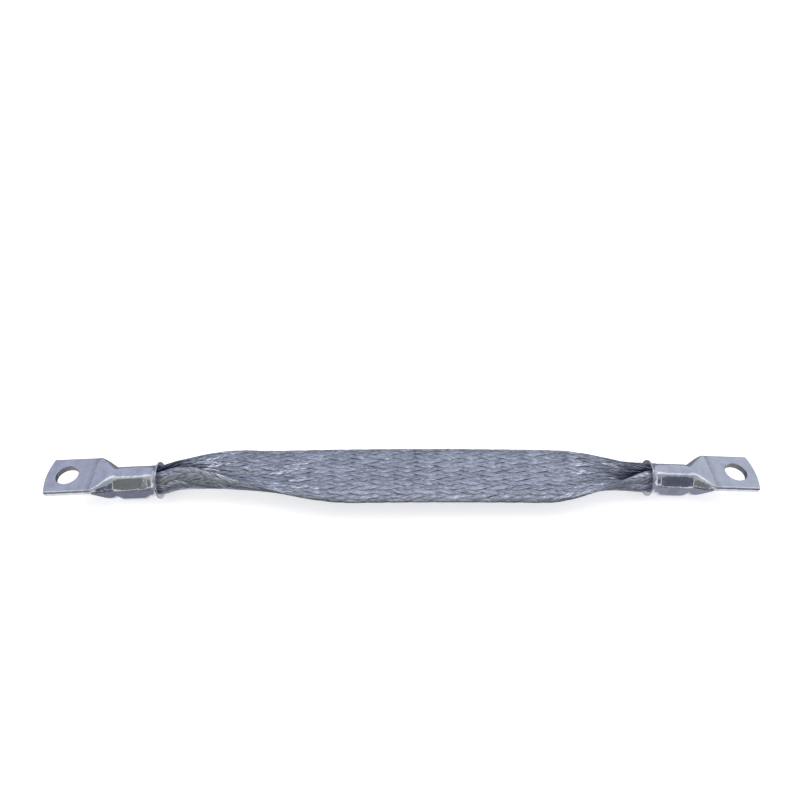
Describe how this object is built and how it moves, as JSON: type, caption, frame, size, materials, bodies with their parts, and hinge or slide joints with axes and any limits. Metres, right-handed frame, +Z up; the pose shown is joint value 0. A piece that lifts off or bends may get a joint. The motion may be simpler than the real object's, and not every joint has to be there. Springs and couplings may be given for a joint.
{
  "type": "flexible busbar braid",
  "caption": "Flat woven tinned copper strap, gathered at each end into a crimped tubular lug with a bell mouth, a flat palm and a stud hole.",
  "frame": {"origin": "under the middle of the strap, on the surface it lies on", "axes": "+X along the strap towards lug_right, +Y across it, +Z up, the way the palms' contact faces look"},
  "size_m": [0.272, 0.0254, 0.0141],
  "materials": {
    "lug": "bright tinned copper tube, pressed and crimped",
    "braid": "woven tinned copper wire, dull silver grey"
  },
  "bodies": {
    "root": {"lug_left": "lug", "lug_right": "lug", "braid": "braid"}
  },
  "joints": []
}
